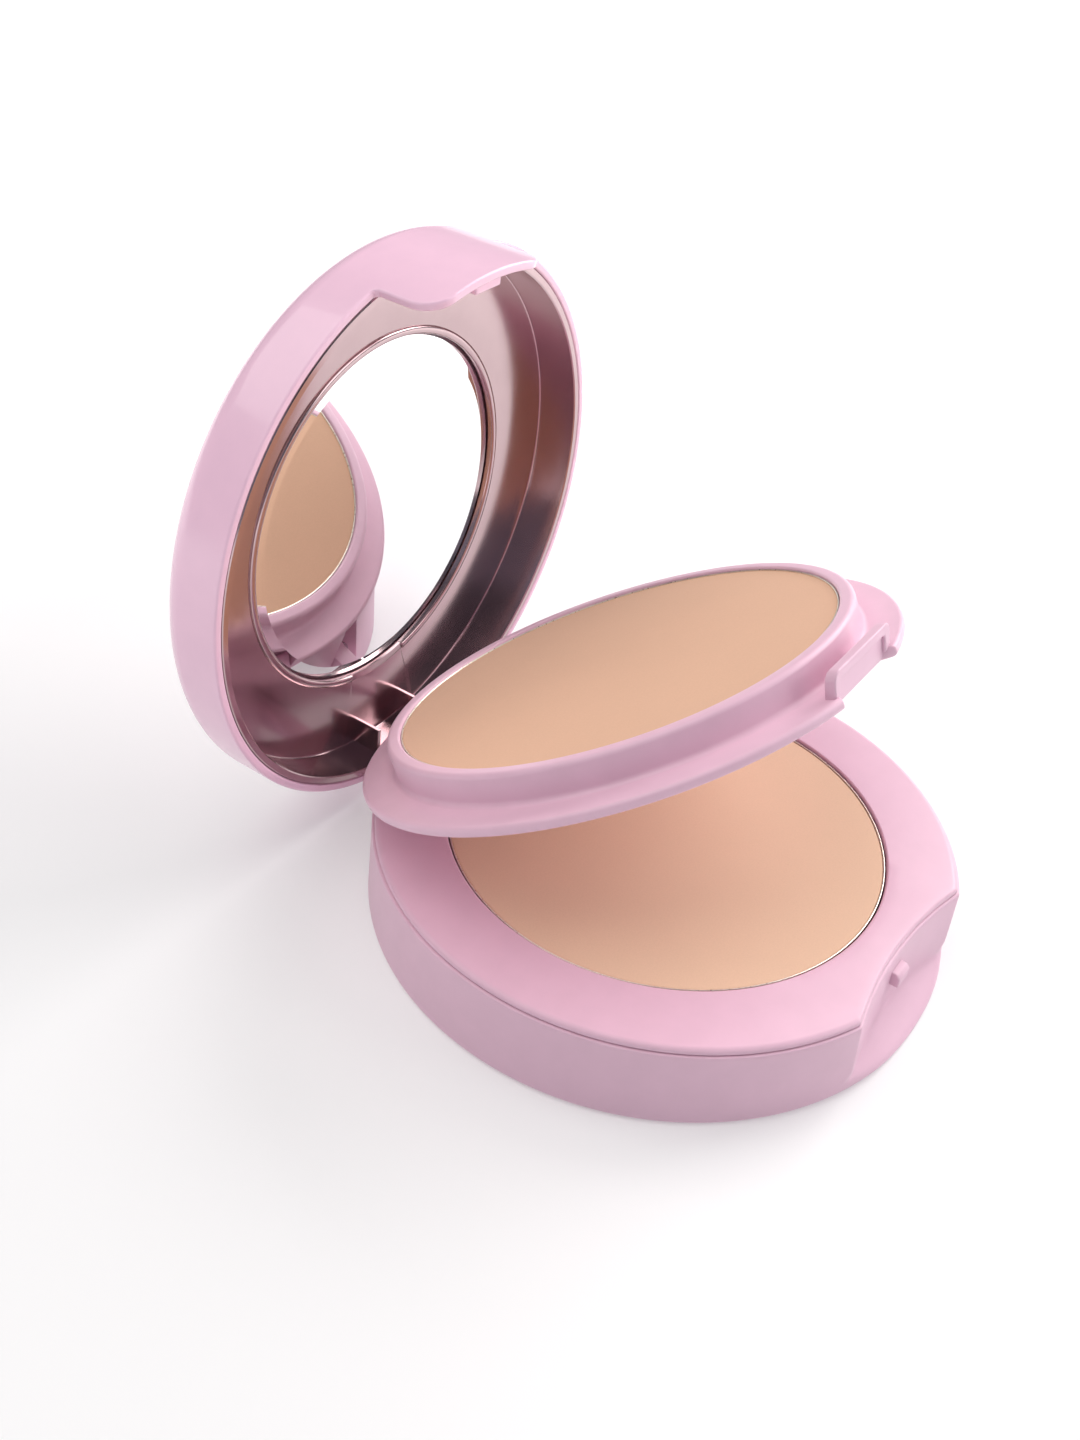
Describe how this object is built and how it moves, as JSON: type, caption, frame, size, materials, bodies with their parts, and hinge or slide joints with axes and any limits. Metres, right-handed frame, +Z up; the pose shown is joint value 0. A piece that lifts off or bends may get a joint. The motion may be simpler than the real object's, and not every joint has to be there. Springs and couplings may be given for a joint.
{
  "type": "two-tier powder compact",
  "caption": "Round pressed-powder compact with a powder pan in its base, a second pan on a tilting tray and a mirrored flip lid on a shared rear hinge.",
  "frame": {"origin": "middle of the flat underside of the base, on the surface that it stands on", "axes": "+Z up, -Y towards the finger notch at the front, +Y towards the hinge, +X along the hinge pin"},
  "size_m": [0.076, 0.0889, 0.0763],
  "materials": {
    "satin_pink": "satin moulded lilac-pink plastic",
    "gloss_pink": "high-gloss pink plastic with a lacquered, faintly metallic coat",
    "gloss_mauve": "high-gloss mauve plastic, reflecting its surroundings like dark glass",
    "powder": "matte pressed powder, light tan beige",
    "pan_aluminium": "pressed bare sheet",
    "steel": "bright drawn wire",
    "mirror_glass": "silvered glass with a bevelled edge",
    "glue": "hot-melt adhesive",
    "label_paper": "plain coated paper"
  },
  "bodies": {
    "base": {"base_shell": "satin_pink", "base_frame": "satin_pink", "base_label": "label_paper", "hinge_pin": "steel", "lower_pan": "pan_aluminium", "lower_powder": "powder", "lower_glue_dot_1": "glue", "lower_glue_dot_2": "glue", "lower_glue_dot_3": "glue"},
    "tray": {"tray_frame": "satin_pink", "tray_pan": "pan_aluminium", "tray_powder": "powder", "tray_glue_dot_1": "glue", "tray_glue_dot_2": "glue", "tray_glue_dot_3": "glue"},
    "lid": {"lid_shell": "gloss_pink", "lid_liner": "gloss_mauve", "mirror": "mirror_glass", "mirror_tape": "label_paper"}
  },
  "joints": [
    {"name": "tray_hinge", "type": "hinge", "parent": "base", "child": "tray", "pos_m": [0, 0.0341, 0.00465], "axis": [-1, 0, 0], "range_deg": [-30, 20]},
    {"name": "lid_hinge", "type": "hinge", "parent": "tray", "child": "lid", "pos_m": [0, 0.0341, 0.00465], "axis": [-1, 0, 0], "range_deg": [-60, 32]}
  ]
}
